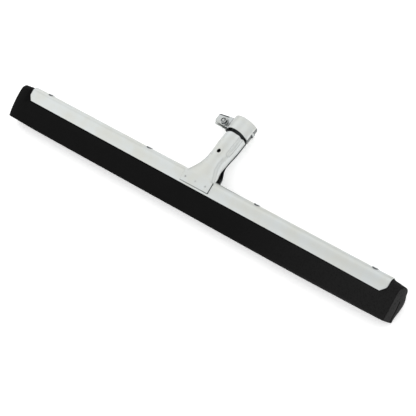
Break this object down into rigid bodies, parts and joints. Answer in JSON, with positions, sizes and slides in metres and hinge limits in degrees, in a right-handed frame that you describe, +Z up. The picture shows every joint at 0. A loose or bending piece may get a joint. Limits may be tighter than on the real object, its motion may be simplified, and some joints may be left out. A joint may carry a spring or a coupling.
{
  "type": "floor squeegee",
  "caption": "Floor squeegee head with a folded moss-rubber blade in a zinc-plated steel channel, riveted along the ridge, and a leaning two-shell handle socket with a bolted clamp.",
  "frame": {"origin": "middle of the bounding box's underside, on the table that the squeegee lies on", "axes": "+X along the blade, to the right seen from the front; +Y from the blade's foot to the socket's mouth; +Z up from the table, out of the blade's front face"},
  "size_m": [0.55, 0.1312, 0.0321],
  "materials": {
    "zinc_steel": "zinc-plated pressed sheet, satin",
    "bright_zinc": "bright zinc plating",
    "moss_rubber": "matt black moss rubber"
  },
  "bodies": {
    "head": {"channel": "zinc_steel", "blade": "moss_rubber", "keeper_strip": "zinc_steel", "ridge_rivet_1": "bright_zinc", "ridge_rivet_2": "bright_zinc", "ridge_rivet_3": "bright_zinc", "ridge_rivet_4": "bright_zinc", "front_shell": "zinc_steel", "rear_shell": "zinc_steel", "rear_band": "zinc_steel", "clamp_bolt": "bright_zinc"},
    "strap": {"clamp_strap": "zinc_steel"},
    "washer": {"clamp_washer": "bright_zinc"},
    "nut": {"clamp_nut": "bright_zinc"}
  },
  "joints": [
    {"name": "washer_travel", "type": "slide", "parent": "head", "child": "washer", "axis": [-0.1219, 0.066, 0.9903], "range_m": [-0.0018, 0]},
    {"name": "nut_turn", "type": "hinge", "parent": "washer", "child": "nut", "pos_m": [-0.0253, 0.05412, 0.01649], "axis": [-0.1219, 0.066, 0.9903], "range_deg": [-811, 0]},
    {"name": "strap_swing", "type": "hinge", "parent": "head", "child": "strap", "pos_m": [0.01415, 0.05587, 0.01576], "axis": [0, 0.9978, -0.0665], "range_deg": [-3.01, 0]}
  ],
  "couplings": [
    {"joint": "nut_turn", "follows": "washer_travel", "rad_per_m": 7854},
    {"joint": "strap_swing", "follows": "washer_travel", "rad_per_m": 29.155}
  ]
}
